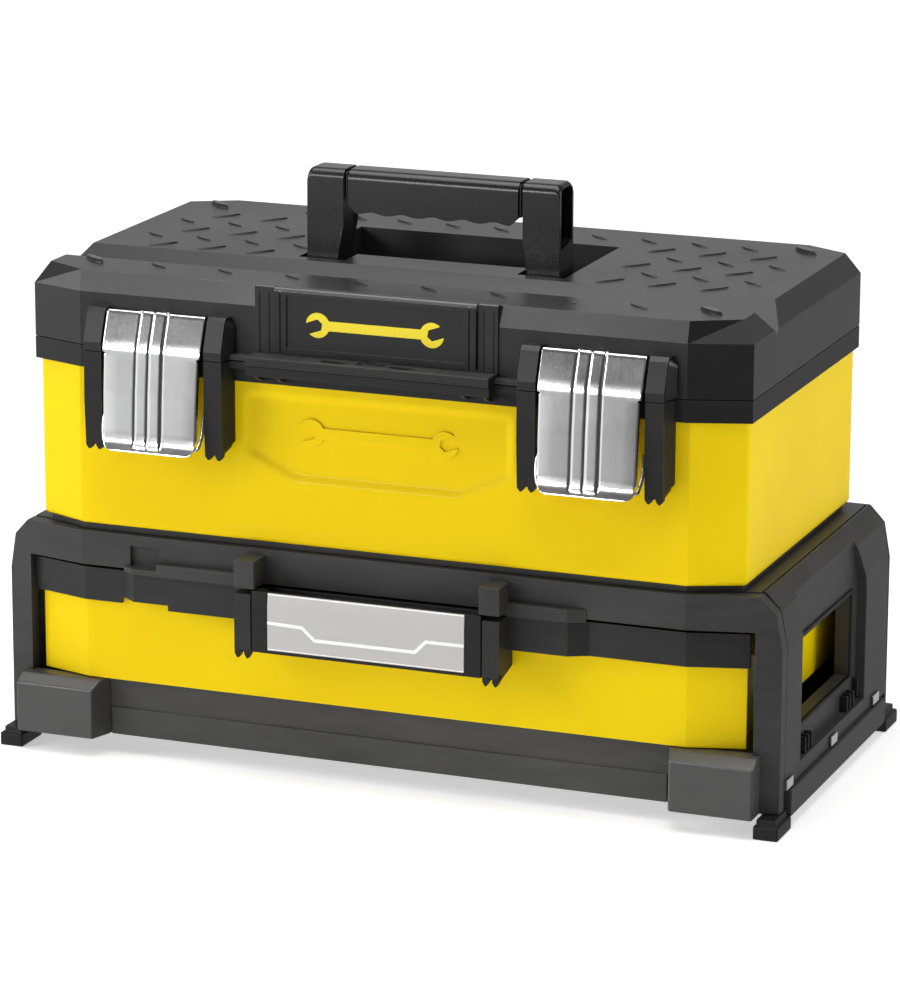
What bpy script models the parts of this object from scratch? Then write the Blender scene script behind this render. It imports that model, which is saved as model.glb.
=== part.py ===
"""Two-storey tool box: a sheet-steel tub with a moulded lid over a frame with one full-width drawer.

Lengths are millimetres; solid() scales them to metres. X is the width, -Y the front, +Z up, and the
box stands on z = 0. Y is counted from the middle of the tub; the parent empty CENTRE then moves
everything so that the latch lips in front and the rear feet are equally far from y = 0.
"""
import math

import bmesh
import bpy
from mathutils import Matrix, Vector

MM = 0.001
GAP = 0.3                    # clearance between pieces that touch

# ---- driving dimensions --------------------------------------------------------------------------
FRONT_REACH = 155.0          # latch lips
REAR_REACH = 145.5           # rear feet
FEET_HALF = 272.5
LID_TOP = 330.3
SEAM = 281.2                 # underside of the lid
RIM_TOP, RIM_BOTTOM = 280.6, 266.2
TUB_BOTTOM, TUB_TOP = 160.2, 272.0
SHEET = 1.2                  # steel sheet
WALL = 2.6                   # moulded wall
FRAME_TOP, FRAME_BOTTOM = 155.6, 13.5
FRAME_HALF = 268.8
OPENING_HALF, OPENING_TOP = 252.0, 132.5
FRONT_BEVEL = ((264.6, 144.7), (254.2, 155.6))   # the frame's sloped shoulder, x and z
REAR_FACE = 129.3
PANEL_FACE = 262.0           # the frame's sides between their pillars
BEZEL_FACE = -130.0          # front of the frame between its angled ends

# the ledge over the drawer handle; its left end steps down beside a shallow pocket
LEDGE_LOW, LEDGE_HIGH = 134.6, 139.2
LEDGE_LEFT_END, LEDGE_STEP = -179.0, -153.5

# plans: half width at the ends, y of the end corners, x of the crease, y of the middle face
LID_PLAN = (246.6, 116.7, 207.7, 129.9)
LID_TOP_PLAN = (237.5, 110.2, 207.7, 126.6)
TUB_PLAN = (244.0, 113.9, 209.6, 128.4)
PLINTH_PLAN = (240.0, 110.0, 208.0, 124.6)

V_FRONT, V_BOTTOM, V_REAR, V_DEPTH = -88.0, -71.0, -46.0, 16.8      # the sawing groove across the lid

HANDLE_PIVOT = (-20.0, 316.0)      # y, z
HANDLE_TOP = 389.6
HANDLE_HALF = 88.2
POST_DEPTH = 26.0
RECESS_HALF, RECESS_REAR, RECESS_FLOOR = 93.0, 72.0, 302.3

HINGE_AXIS = (134.8, 281.0)        # y, z
HINGE_X = 150.0

LATCH_X = 149.5
LATCH_PIVOT = (-141.0, 246.0)      # the bail turns in the lower ears here
LATCH_LIP_PIVOT = (-148.8, 222.6)  # the plate turns on the bail here
EAR_IN, EAR_OUT = 36.2, 48.5       # ear walls, from the latch's middle
WIRE = 1.3                         # bail wire radius

DRAWER_HALF, DRAWER_BOTTOM, DRAWER_TOP = 239.0, 56.0, 127.5
DRAWER_REAR = 108.0
DRAWER_FRONT_LINE = ((245.5, -113.1), (208.7, -123.7))
FLAP_PIVOT = (-141.0, 99.0)        # the drawer handle's pivot, y and z
FLAP_HALF = 79.3
SLIDE_Z = (113.0, 130.0)
SLIDE_FRONT, SLIDE_REAR = -104.0, 106.0

WINDOW = (57.0, 56.0, 113.0)       # half length in y, then z range

STEEL_YELLOW = ((0.86, 0.66, 0.0), 0.35, 0.0)
BLACK = ((0.045, 0.045, 0.047), 0.55, 0.0)
GREY = ((0.10, 0.10, 0.105), 0.6, 0.0)
ZINC = ((0.62, 0.62, 0.63), 0.35, 1.0)
SILVER = ((0.55, 0.55, 0.58), 0.4, 0.6)

# ---- scene set-up --------------------------------------------------------------------------------
for old in list(bpy.data.objects):
    bpy.data.objects.remove(old, do_unlink=True)

CENTRE = bpy.data.objects.new("box_centre", None)
CENTRE.location = (0.0, (FRONT_REACH - REAR_REACH) / 2 * MM, 0.0)
bpy.context.scene.collection.objects.link(CENTRE)


# ---- mesh helpers --------------------------------------------------------------------------------
def solid(name, bm):
    """Turn a bmesh in millimetres into a linked object in metres, faces pointing out."""
    bmesh.ops.remove_doubles(bm, verts=bm.verts, dist=0.001)
    bmesh.ops.recalc_face_normals(bm, faces=bm.faces)
    bm.transform(Matrix.Scale(MM, 4))
    mesh = bpy.data.meshes.new(name)
    bm.to_mesh(mesh)
    bm.free()
    obj = bpy.data.objects.new(name, mesh)
    bpy.context.scene.collection.objects.link(obj)
    return obj


def prism(outline, axis, low, high, name="piece"):
    """Extrude a closed outline of 2-D points along axis; its points are the other two axes in order."""
    bm = bmesh.new()
    index = "xyz".index(axis)
    others = [i for i in range(3) if i != index]

    def point(pair, along):
        co = [0.0, 0.0, 0.0]
        co[index] = along
        co[others[0]], co[others[1]] = pair
        return bm.verts.new(co)

    near = [point(pair, low) for pair in outline]
    far = [point(pair, high) for pair in outline]
    bm.faces.new(near)
    bm.faces.new(far)
    for i in range(len(outline)):
        j = (i + 1) % len(outline)
        bm.faces.new((near[i], near[j], far[j], far[i]))
    return solid(name, bm)


def box(x, y, z, name="piece"):
    return prism([(x[0], y[0]), (x[1], y[0]), (x[1], y[1]), (x[0], y[1])], "z", z[0], z[1], name)


def rod(axis, centre, radius, low, high, sides=16, name="piece"):
    turn = [2 * math.pi * (i + 0.5) / sides for i in range(sides)]
    outline = [(centre[0] + radius * math.cos(a), centre[1] + radius * math.sin(a)) for a in turn]
    return prism(outline, axis, low, high, name)


def octagon(plan, inset=0.0):
    """The crowned outline that the lid, rim and tub share: flat middle, ends angled back."""
    half, corner, crease, middle = plan
    half, corner, middle = half - inset, corner - inset, middle - inset
    crease -= 0.4 * inset
    front = [(-half, -corner), (-crease, -middle), (crease, -middle), (half, -corner)]
    return front + [(-x, -y) for x, y in front]


def shell(rings, name, closed=False):
    """Join rings of (outline, z) in order; the ends are capped unless the stack closes on itself."""
    bm = bmesh.new()
    loops = [[bm.verts.new((x, y, z)) for x, y in outline] for outline, z in rings]
    pairs = list(zip(loops, loops[1:]))
    if closed:
        pairs.append((loops[-1], loops[0]))
    else:
        bm.faces.new(loops[0])
        bm.faces.new(loops[-1])
    for low, high in pairs:
        for i in range(len(low)):
            j = (i + 1) % len(low)
            bm.faces.new((low[i], low[j], high[j], high[i]))
    return solid(name, bm)


def combine(body, others, operation):
    """Boolean each of others into body and drop them."""
    for other in others:
        step = body.modifiers.new(operation, "BOOLEAN")
        step.operation = operation
        step.solver = "EXACT"
        step.object = other
        graph = bpy.context.evaluated_depsgraph_get()
        result = bpy.data.meshes.new_from_object(body.evaluated_get(graph))
        body.modifiers.clear()
        body.data = result
        bpy.data.objects.remove(other, do_unlink=True)
    return body


def add(body, *others):
    return combine(body, others, "UNION")


def cut(body, *others):
    return combine(body, others, "DIFFERENCE")


def mirrored(obj, name="piece"):
    """A copy of obj on the other side of x = 0."""
    bm = bmesh.new()
    bm.from_mesh(obj.data)
    bm.transform(Matrix.Diagonal((-1, 1, 1, 1)))
    bm.transform(Matrix.Scale(1 / MM, 4))
    return solid(name, bm)


def material(finish):
    colour, roughness, metallic = finish
    mat = bpy.data.materials.new("finish")
    mat.use_nodes = True
    shader = mat.node_tree.nodes["Principled BSDF"]
    shader.inputs["Base Color"].default_value = (*colour, 1.0)
    shader.inputs["Roughness"].default_value = roughness
    shader.inputs["Metallic"].default_value = metallic
    return mat


def node(name, obj, finish, pivot=(0.0, 0.0, 0.0)):
    """Name a finished piece, give it its own material and put its origin on pivot."""
    obj.name = obj.data.name = name
    obj.data.materials.clear()
    obj.data.materials.append(material(finish))
    obj.data.transform(Matrix.Translation(-Vector(pivot) * MM))
    obj.location = Vector(pivot) * MM
    obj.parent = CENTRE
    return obj


def both_sides(name, build, finish, pivot=(0.0, 0.0, 0.0)):
    """The same piece on the right and, mirrored, on the left."""
    right = build()
    left = mirrored(right)
    node(name + "_right", right, finish, pivot)
    node(name + "_left", left, finish, (-pivot[0], pivot[1], pivot[2]))


def at_latches(build):
    """One cutter or lug on each side of both latches: build(outer, side) for x = side * outer."""
    return [build(centre, side) for centre in (-LATCH_X, LATCH_X) for side in (-1, 1)]


def span(centre, side, near, far):
    """x range between two distances on one side of centre, in rising order."""
    return tuple(sorted((centre + side * near, centre + side * far)))


# ---- tub and rim ---------------------------------------------------------------------------------
def build_tub():
    inner = octagon(TUB_PLAN, SHEET)
    tub = shell([(octagon(TUB_PLAN), TUB_BOTTOM), (octagon(TUB_PLAN), TUB_TOP),
                 (inner, TUB_TOP), (inner, TUB_BOTTOM + SHEET)], "tub")
    node("tub_shell", tub, STEEL_YELLOW)


def padlock_slots():
    """Two slots for padlocks through the ledges of the lid and the rim."""
    return [box(span(0, side, 12.5, 34.0), (-144.5, -137.5), (270, 290)) for side in (-1, 1)]


def knuckles(xs, up):
    """Hinge barrels round the rear axis, with a web to the wall above (up) or below it."""
    y, z = HINGE_AXIS
    pieces = []
    for low, high in xs:
        web = ((y - 6.0, z + 0.5), (y + 4.4, z + 0.5), (y + 1.0, z + 10.0), (y - 6.0, z + 12.0))
        if not up:
            web = [(a, 2 * z - b) for a, b in web]
        pieces += [rod("x", HINGE_AXIS, 4.5, low, high), prism(web, "x", low, high)]
    return pieces


def hinge_bores():
    return [rod("x", HINGE_AXIS, 1.85, c - 32, c + 32) for c in (-HINGE_X, HINGE_X)]


def build_rim():
    outer = octagon(LID_PLAN)
    hole = octagon(LID_PLAN, 6.2)
    sheet_in = octagon(TUB_PLAN, SHEET + GAP)
    sheet_out = octagon(TUB_PLAN, -GAP)
    groove = TUB_TOP + GAP
    rim = shell([(outer, RIM_BOTTOM), (outer, RIM_TOP), (hole, RIM_TOP), (hole, RIM_BOTTOM),
                 (sheet_in, RIM_BOTTOM), (sheet_in, groove), (sheet_out, groove), (sheet_out, RIM_BOTTOM)],
                "rim", closed=True)
    add(rim, box((-83, 83), (-147, -129.2), (274.6, RIM_TOP)))
    for side in (-1, 1):
        add(rim, box(span(0, side, 82, LATCH_X - EAR_OUT + 2), (-136.5, -129.2), (276, RIM_TOP)))
    cut(rim, *padlock_slots())

    def ear(centre, side):
        x = span(centre, side, EAR_IN, EAR_OUT)
        profile = [(-129.2, RIM_TOP), (-145.0, RIM_TOP), (-145.6, 250.0), (-144.0, 219.0), (-128.9, 222.0),
                   (-128.9, 266.8), (-129.2, 266.8)]
        return prism(profile, "x", *x)

    def hollow(centre, side):
        return box(span(centre, side, EAR_IN + 2.4, EAR_OUT - 2.4), (-142.4, -128.0), (210, 265.9))

    def pivot_hole(centre, side):
        return rod("x", LATCH_PIVOT, 1.7, *span(centre, side, EAR_IN - 2, EAR_IN + 4))

    add(rim, *at_latches(ear))
    cut(rim, *at_latches(hollow))
    cut(rim, *at_latches(pivot_hole))
    ends = [(c + a, c + b) for c in (-HINGE_X, HINGE_X) for a, b in ((-29, -15.4), (15.4, 29))]
    add(rim, *knuckles(ends, up=False))
    cut(rim, *hinge_bores())
    node("tub_rim", rim, BLACK)


def build_hinge_pins():
    def pin():
        return rod("x", HINGE_AXIS, 1.5, HINGE_X - 30.5, HINGE_X + 30.5)
    both_sides("hinge_pin", pin, ZINC)


# ---- lid -----------------------------------------------------------------------------------------
def v_outline(deep, wide):
    """Cross-section of the sawing groove; deep and wide grow it into the trough round it."""
    high = LID_TOP + 5.0 if deep == 0 else LID_TOP - 0.8
    front_slope = (V_BOTTOM - V_FRONT) / V_DEPTH
    rear_slope = (V_REAR - V_BOTTOM) / V_DEPTH
    rise = high - LID_TOP + V_DEPTH + deep
    return [(V_BOTTOM - front_slope * rise - wide, high), (V_BOTTOM, LID_TOP - V_DEPTH - deep),
            (V_BOTTOM + rear_slope * rise + wide, high)]


def build_lid():
    plan, top = LID_PLAN, LID_TOP_PLAN
    lid = shell([(octagon(top, 3.0), LID_TOP - 3.4), (octagon(plan, WALL), LID_TOP - 14.6),
                 (octagon(plan, WALL), SEAM), (octagon(plan), SEAM), (octagon(plan), LID_TOP - 13.8),
                 (octagon(top), LID_TOP)], "lid")
    # the trough under the sawing groove stays inside the lid's sloped ends
    outside = shell([(octagon(plan), SEAM), (octagon(plan), LID_TOP - 13.8), (octagon(top), LID_TOP)], "outside")
    trough = prism(v_outline(3.2, 0.5), "x", -LID_PLAN[0], LID_PLAN[0])
    add(lid, combine(trough, [outside], "INTERSECT"))
    add(lid, box((-RECESS_HALF - 2.6, RECESS_HALF + 2.6), (-39.2, RECESS_REAR + 2.6),
                 (RECESS_FLOOR - 2.6, LID_TOP - 1.0)))
    # the mouldings on the front face: nameplate pillars, padlock ledge, latch ears
    add(lid, box((-83, 83), (-131.2, -124.5), (285.0, LID_TOP - GAP)))
    add(lid, box((-83, 83), (-148, -128.0), (SEAM, 286.6)))

    def ear(centre, side):
        profile = [(-128.0, SEAM), (-145.0, SEAM), (-145.4, 287.0), (-138.8, 305.5), (-136.0, 308.3),
                   (-128.0, 308.3)]
        return prism(profile, "x", *span(centre, side, EAR_IN, EAR_OUT))

    add(lid, *at_latches(ear))
    # the catch that the top edge of each latch plate hooks over
    add(lid, *[box((c - 22, c + 22), (-134.2, -128.0), (300.5, 304.9)) for c in (-LATCH_X, LATCH_X)])
    add(lid, *knuckles([(c - 14.9, c + 14.9) for c in (-HINGE_X, HINGE_X)], up=True))
    cut(lid, *hinge_bores())
    cut(lid, prism(v_outline(0, 0), "x", -260, 260))
    cut(lid, box((-RECESS_HALF, RECESS_HALF), (-15.0, RECESS_REAR), (RECESS_FLOOR, LID_TOP + 9)))
    for side in (-1, 1):
        cut(lid, box(span(0, side, 60.0, RECESS_HALF), (-36.5, -14.0), (RECESS_FLOOR, LID_TOP + 9)))
        cut(lid, rod("x", HANDLE_PIVOT, 3.3, *span(0, side, 50.0, 100.0)))
    cut(lid, box((-69.4, 69.4), (-140, -129.0), (288.2, LID_TOP + 9)))
    cut(lid, *padlock_slots())
    node("lid", lid, GREY, (0.0, *HINGE_AXIS))


def build_nameplate():
    plate = box((-69.0, 69.0), (-133.2, -129.3), (288.6, LID_TOP - 0.2))
    cut(plate, box((-64.0, 64.0), (-140, -132.2), (291.5, 326.0)))
    node("nameplate", plate, BLACK, (0.0, *HINGE_AXIS))


def build_handle_pins():
    def pin():
        return rod("x", HANDLE_PIVOT, 3.0, 51.0, RECESS_HALF + 5.0)
    both_sides("handle_pin", pin, ZINC)


# ---- carrying handle -----------------------------------------------------------------------------
def build_handle():
    y, z = HANDLE_PIVOT
    half_depth = POST_DEPTH / 2
    top, shoulder = HANDLE_TOP, HANDLE_TOP - POST_DEPTH

    def post():
        front = [(HANDLE_HALF, z - half_depth), (HANDLE_HALF, top), (62.4, top), (62.4, shoulder),
                 (66.8, LID_TOP), (66.8, z - half_depth)]
        body = prism(front, "y", y - half_depth, y + half_depth)
        # the foot is round so that it can turn in its pocket
        keep = [(y - half_depth, z), (y - half_depth, top + 1), (y + half_depth, top + 1), (y + half_depth, z)]
        keep += [(y + half_depth * math.cos(a), z - half_depth * math.sin(a))
                 for a in [math.pi * i / 12 for i in range(1, 12)]]
        combine(body, [prism(keep, "x", 55, 95)], "INTERSECT")
        cut(body, box((68.5, 95), (y - half_depth + 2.6, y + half_depth - 2.6), (347.5, top - 2.8)))
        cut(body, rod("x", HANDLE_PIVOT, 3.35, 60, 95))
        return body

    frame = post()
    add(frame, mirrored(frame), box((-66, 66), (y - 9, y + 9), (top - 22, top - 4)))
    pivot = (0.0, y, z)
    node("handle_frame", frame, BLACK, pivot)

    bottom = top - POST_DEPTH
    outline = [(-59.5, top), (59.5, top), (59.5, bottom + 1.5)]
    waves = 5
    steps = 24
    for i in range(steps + 1):
        x = 52.0 - 104.0 * i / steps
        outline.append((x, bottom + 1.2 - 1.2 * math.cos(2 * math.pi * waves * i / steps)))
    outline.append((-59.5, bottom + 1.5))
    grip = prism(outline, "y", y - half_depth, y + half_depth)
    cut(grip, box((-70, 70), (y - 9.3, y + 9.3), (top - 22.3, top - 3.7)))
    node("handle_grip", grip, BLACK, pivot)


# ---- draw latches --------------------------------------------------------------------------------
def thick_line(points, thickness):
    """Outline of a bent sheet whose middle runs through points."""
    sides = ([], [])
    for i, point in enumerate(points):
        before = Vector(points[max(i - 1, 0)])
        after = Vector(points[min(i + 1, len(points) - 1)])
        along = (after - before).normalized()
        across = Vector((-along.y, along.x)) * thickness / 2
        sides[0].append(tuple(Vector(point) + across))
        sides[1].append(tuple(Vector(point) - across))
    return sides[0] + sides[1][::-1]


def bail(centre):
    """Wire bail: two ends turned into the ears, arms down to a crossbar under the plate's lip."""
    upper = Vector(LATCH_PIVOT)
    lower = Vector(LATCH_LIP_PIVOT)
    reach, end = 33.2, 40.5
    route = [(-end, *upper), (-reach, *upper), (-reach, *lower), (reach, *lower), (reach, *upper), (end, *upper)]
    curve = bpy.data.curves.new("wire", "CURVE")
    curve.dimensions = "3D"
    curve.bevel_depth = WIRE * MM
    curve.bevel_resolution = 2
    curve.use_fill_caps = True
    spline = curve.splines.new("POLY")
    spline.points.add(len(route) - 1)
    for knot, (x, y, z) in zip(spline.points, route):
        knot.co = ((centre + x) * MM, y * MM, z * MM, 1.0)
    wire = bpy.data.objects.new("wire", curve)
    bpy.context.scene.collection.objects.link(wire)
    graph = bpy.context.evaluated_depsgraph_get()
    mesh = bpy.data.meshes.new_from_object(wire.evaluated_get(graph))
    bpy.data.objects.remove(wire, do_unlink=True)
    obj = bpy.data.objects.new("bail", mesh)
    bpy.context.scene.collection.objects.link(obj)
    return obj


def latch_plate(centre):
    middle_line = [(-132.2, 306.4), (-137.4, 308.0), (-144.6, 289.0), (-146.2, 284.0), (-149.0, 256.0),
                   (-150.6, 230.0), (-151.6, 224.0), (-154.2, 218.2)]
    plate = prism(thick_line(middle_line, 1.4), "x", centre - 34.3, centre + 34.3)
    for side in (-1, 1):
        cut(plate, box(span(centre, side, 30.5, 40.0), (-160, -140), (210, 262)))
    for side in (-1, 1):
        curl = rod("x", LATCH_LIP_PIVOT, 3.6, *span(centre, side, 14.0, 24.0), sides=12)
        add(plate, curl)
    cut(plate, rod("x", LATCH_LIP_PIVOT, WIRE + 0.4, centre - 30, centre + 30, sides=12))
    return plate


def build_latches():
    for side, centre in (("left", -LATCH_X), ("right", LATCH_X)):
        node("latch_bail_" + side, bail(centre), ZINC, (centre, *LATCH_PIVOT))
        node("latch_plate_" + side, latch_plate(centre), ZINC, (centre, *LATCH_LIP_PIVOT))


# ---- lower frame ---------------------------------------------------------------------------------
def frame_elevation():
    """Outline of the frame seen from the front: upright sides and sloped shoulders."""
    right = [(FRAME_HALF, FRAME_BOTTOM), (FRAME_HALF, 121.0), *FRONT_BEVEL]
    return right + [(-x, z) for x, z in reversed(right)]


def build_bezel():
    plan = [(-FRAME_HALF, -115.5), (-209, BEZEL_FACE), (209, BEZEL_FACE), (FRAME_HALF, -115.5),
            (FRAME_HALF, -105.5), (209, -119), (-209, -119), (-FRAME_HALF, -105.5)]
    bezel = prism(plan, "z", FRAME_BOTTOM, FRAME_TOP)
    combine(bezel, [prism(frame_elevation(), "y", -140, -90)], "INTERSECT")
    cut(bezel, box((-OPENING_HALF, OPENING_HALF), (-150, -90), (0, OPENING_TOP)))
    cut(bezel, box((LEDGE_LEFT_END + 5, LEDGE_STEP), (-133, -127), (LEDGE_LOW, 148.2)))
    node("front_bezel", bezel, BLACK)


def build_ledges():
    """The ledge on each side of the drawer handle, with the block that stops the handle's ear."""
    back, front = BEZEL_FACE - GAP, -135.6
    left = [(LEDGE_LEFT_END, back), (LEDGE_LEFT_END + 8.2, front), (-86, front), (-86, back)]
    right = [(86, front), (132.3, front), (144, back), (86, back)]
    for name, plan, side in (("left", left, -1), ("right", right, 1)):
        ledge = prism(plan, "z", OPENING_TOP - 2.2, LEDGE_HIGH)
        if side < 0:
            cut(ledge, box((LEDGE_LEFT_END - 1, LEDGE_STEP), (front - 1, back + 1), (LEDGE_LOW, LEDGE_HIGH + 1)))
        add(ledge, box(span(0, side, 77.5, 91.8), (-149.0, back), (133.5, 152.0)))
        node("bezel_ledge_" + name, ledge, BLACK)


def build_side_frames():
    def side():
        inner = OPENING_HALF + GAP
        meeting = (PANEL_FACE, 147.4)      # where the recessed panel runs out into the shoulder
        profile = [(inner, FRAME_BOTTOM), (PANEL_FACE, FRAME_BOTTOM), meeting, FRONT_BEVEL[1], (inner, FRAME_TOP)]
        front, rear = -105.0, REAR_FACE - 3.3
        slab = prism(profile, "y", front, rear)
        standing = [(PANEL_FACE - 1, 25.5), (FRAME_HALF, 25.5), (FRAME_HALF, 121.0), FRONT_BEVEL[0], meeting,
                    (PANEL_FACE - 1, meeting[1])]
        # the rear pillar flares forward towards the shoulder
        flare = [(rear, 20), (rear, 150), (60, 150), (61.5, 145.0), (67.5, 134.0), (72.0, 122.0), (74.0, 108.0),
                 (74.0, 20)]
        add(slab, prism(standing, "y", front, -71.0))
        add(slab, combine(prism(standing, "y", 50.0, rear), [prism(flare, "x", 255, 275)], "INTERSECT"))
        add(slab, box((PANEL_FACE - 1, FRAME_HALF), (-72, 75), (25.5, 36.0)))
        cut(slab, box((240, 280), (-WINDOW[0], WINDOW[0]), WINDOW[1:]))
        for y in (-98.0, 0.0, 98.0):
            cut(slab, box((240, 280), (y - 7.4, y + 7.4), (27.4, 29.8)))
        # clearance over the bezel's slanted back corner
        corner = [(inner - 1, -110.0), (280, -110.0), (280, -102.5), (FRAME_HALF + 1, -104.6), (inner - 1, -108.6)]
        cut(slab, prism(corner, "z", 0, 200))
        return slab
    both_sides("side_frame", side, BLACK)


def build_back_panel():
    panel = prism(frame_elevation(), "y", REAR_FACE - 3.0, REAR_FACE)
    node("back_panel", panel, BLACK)


def build_deck():
    """Inverted tray that closes the frame, with the plinth that the tub stands on."""
    edge = OPENING_HALF - 0.1
    rear = REAR_FACE - 3.4
    plan = [(-edge, -108.4), (-209, -118.5), (209, -118.5), (edge, -108.4), (edge, rear), (-edge, rear)]
    inner = [(-edge + 3, -105.6), (-208, -115.4), (208, -115.4), (edge - 3, -105.6), (edge - 3, rear - 3),
             (-edge + 3, rear - 3)]
    deck = shell([(inner, 153.4), (inner, 134.0), (plan, 134.0), (plan, 156.4)], "deck")
    plinth = shell([(octagon(PLINTH_PLAN), 155.9), (octagon(PLINTH_PLAN), TUB_BOTTOM - GAP),
                    (octagon(PLINTH_PLAN, 12.0), TUB_BOTTOM - GAP), (octagon(PLINTH_PLAN, 12.0), 155.9)],
                   "plinth", closed=True)
    add(deck, plinth)
    node("lower_deck", deck, BLACK)


def build_base():
    strip = box((-OPENING_HALF + GAP, OPENING_HALF - GAP), (-117.0, -113.5), (FRAME_BOTTOM, 52.0))
    add(strip, box((-195, 195), (-118.4, -116.0), (FRAME_BOTTOM, 32.5)))
    node("front_strip", strip, BLACK)

    def block():
        plan = [(201.3, -135.3), (257.0, -135.3), (257.0, -117.4 - 1.0), (252.0, -117.4 - 1.0), (252.0, -117.4),
                (195.5, -117.4)]
        body = prism(plan, "z", 13.4, 54.4)
        slope = [(-140, 43.5), (-135.3, 47.3), (-124.6, 54.4), (-124.6, 60), (-140, 60)]
        cut(body, prism(slope, "x", 190, 262))
        cut(body, box((190, 262), (-127.5, -110), (52.9, 60)))
        cut(body, prism([(251.7, -120.4), (270, -115.6), (270, -110), (251.7, -110)], "z", 0, 60))
        return body
    both_sides("corner_block", block, GREY)

    plate = box((-251.6, 251.6), (-113.0, REAR_FACE - 3.5), (27.8, 29.3))
    for y in (-98.0, 0.0, 98.0):
        for side in (-1, 1):
            add(plate, box(span(0, side, 250, 270.6), (y - 7, y + 7), (27.8, 29.3)),
                box(span(0, side, 269.1, 270.6), (y - 7, y + 7), (26.5, 33.0)))
    node("base_plate", plate, ZINC)

    def rail():
        return box((262.3, 272.0), (-99.0, 116.0), (7.5, 25.2))
    both_sides("side_rail", rail, BLACK)

    def foot(front, rear):
        body = box((256.0, FEET_HALF), (front, rear), (0.0, 8.8))
        return add(body, box((257.5, 270.0), (front + 2.0, rear - 2.0), (8.0, FRAME_BOTTOM - 0.4)))
    both_sides("foot_front", lambda: foot(-130.0, -100.0), GREY)
    both_sides("foot_rear", lambda: foot(117.0, REAR_REACH), GREY)


# ---- drawer --------------------------------------------------------------------------------------
def crowned_band(line, thickness):
    """Plan of a plate that follows the drawer's crowned front: line holds the end and crease points."""
    (end_x, end_y), (crease_x, crease_y) = line
    outer = [(-end_x, end_y), (-crease_x, crease_y), (crease_x, crease_y), (end_x, end_y)]
    return outer + [(x, y + thickness) for x, y in reversed(outer)]


def build_drawer():
    plan = [(-DRAWER_HALF, -113.0), (-208, -121.5), (208, -121.5), (DRAWER_HALF, -113.0),
            (DRAWER_HALF, DRAWER_REAR), (-DRAWER_HALF, DRAWER_REAR)]
    t = SHEET
    inner = [(-DRAWER_HALF + t, -112.2), (-207.8, -120.3), (207.8, -120.3), (DRAWER_HALF - t, -112.2),
             (DRAWER_HALF - t, DRAWER_REAR - t), (-DRAWER_HALF + t, DRAWER_REAR - t)]
    pan = shell([(plan, DRAWER_BOTTOM), (plan, DRAWER_TOP), (inner, DRAWER_TOP), (inner, DRAWER_BOTTOM + t)], "pan")
    node("drawer_pan", pan, STEEL_YELLOW)

    front = prism(crowned_band(DRAWER_FRONT_LINE, 1.5), "z", DRAWER_BOTTOM - 2.5, DRAWER_TOP + 0.5)
    node("drawer_front", front, STEEL_YELLOW)

    outer = [(-251.0, -114.5), (-208.9, -126.6), (-179.5, -126.6), (-170.8, -133.2), (132.0, -133.2),
             (144.5, -126.6), (208.9, -126.6), (247.5, -115.6)]
    inner = [(247.5, -112.9), (208.8, -124.1), (-208.8, -124.1), (-251.0, -111.8)]
    trim = prism(outer + inner, "z", 107.6, 130.0)
    cut(trim, box((-182, -146), (-140, -120), (100, 111.3)))
    for side in (-1, 1):
        ear = [(-124.1, 130.0), (-149.0, 130.0), (-149.0, 92.5), (-146.0, 90.0), (-124.1, 95.0)]
        add(trim, prism(ear, "x", *span(0, side, 80.2, 91.6)))
        cut(trim, box(span(0, side, 82.4, 89.4), (-146.8, -124.0), (80, 104.0)))
        cut(trim, rod("x", FLAP_PIVOT, 1.85, *span(0, side, 79, 84)))
    # room behind the flap for the fingers
    cut(trim, box((-80.0, 80.0), (-140, -127.0), (100, 140)))
    split = FLAP_HALF + 0.5
    for name, x in (("left", (-260, -split - GAP)), ("middle", (-split, split)), ("right", (split + GAP, 260))):
        part = trim.copy()
        part.data = trim.data.copy()
        bpy.context.scene.collection.objects.link(part)
        combine(part, [box(x, (-160, -100), (80, 140))], "INTERSECT")
        node("drawer_trim_" + name, part, BLACK)
    bpy.data.objects.remove(trim, do_unlink=True)

    def pin():
        return rod("x", FLAP_PIVOT, 1.5, 73.0, 86.0, sides=12)
    both_sides("flap_pin", pin, ZINC)


def build_flap():
    y, z = FLAP_PIVOT
    flap = box((-FLAP_HALF, FLAP_HALF), (-149.0, -145.4), (91.6, 132.7))
    for side in (-1, 1):
        cap = [(-149.0, 132.7), (-140.0, 132.7), (-136.5, 126.0), (-136.5, 97.0), (-139.0, 91.6), (-149.0, 91.6)]
        add(flap, prism(cap, "x", *span(0, side, 71.0, FLAP_HALF)))
    cut(flap, box((-68.3, 68.3), (-155, -147.9), (93.6, 140)))
    for side in (-1, 1):
        cut(flap, rod("x", FLAP_PIVOT, 1.85, *span(0, side, 72.0, 85.0), sides=12))
    pivot = (0.0, y, z)
    node("drawer_handle", flap, BLACK, pivot)
    face = [(-148.2, 94.0), (-149.4, 94.0), (-149.6, 127.6), (-148.9, 132.4), (-148.2, 132.4)]
    node("handle_insert", prism(face, "x", -68.0, 68.0), SILVER, pivot)


def channel(x_web, x_lip, z_low, z_high, y_low, y_high, sheet):
    """C-shaped slide member, open towards x_lip."""
    web = x_web - sheet
    profile = [(x_web, z_low), (x_web, z_high), (x_lip, z_high), (x_lip, z_high - sheet), (web, z_high - sheet),
               (web, z_low + sheet), (x_lip, z_low + sheet), (x_lip, z_low)]
    return prism(profile, "y", y_low, y_high)


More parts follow.
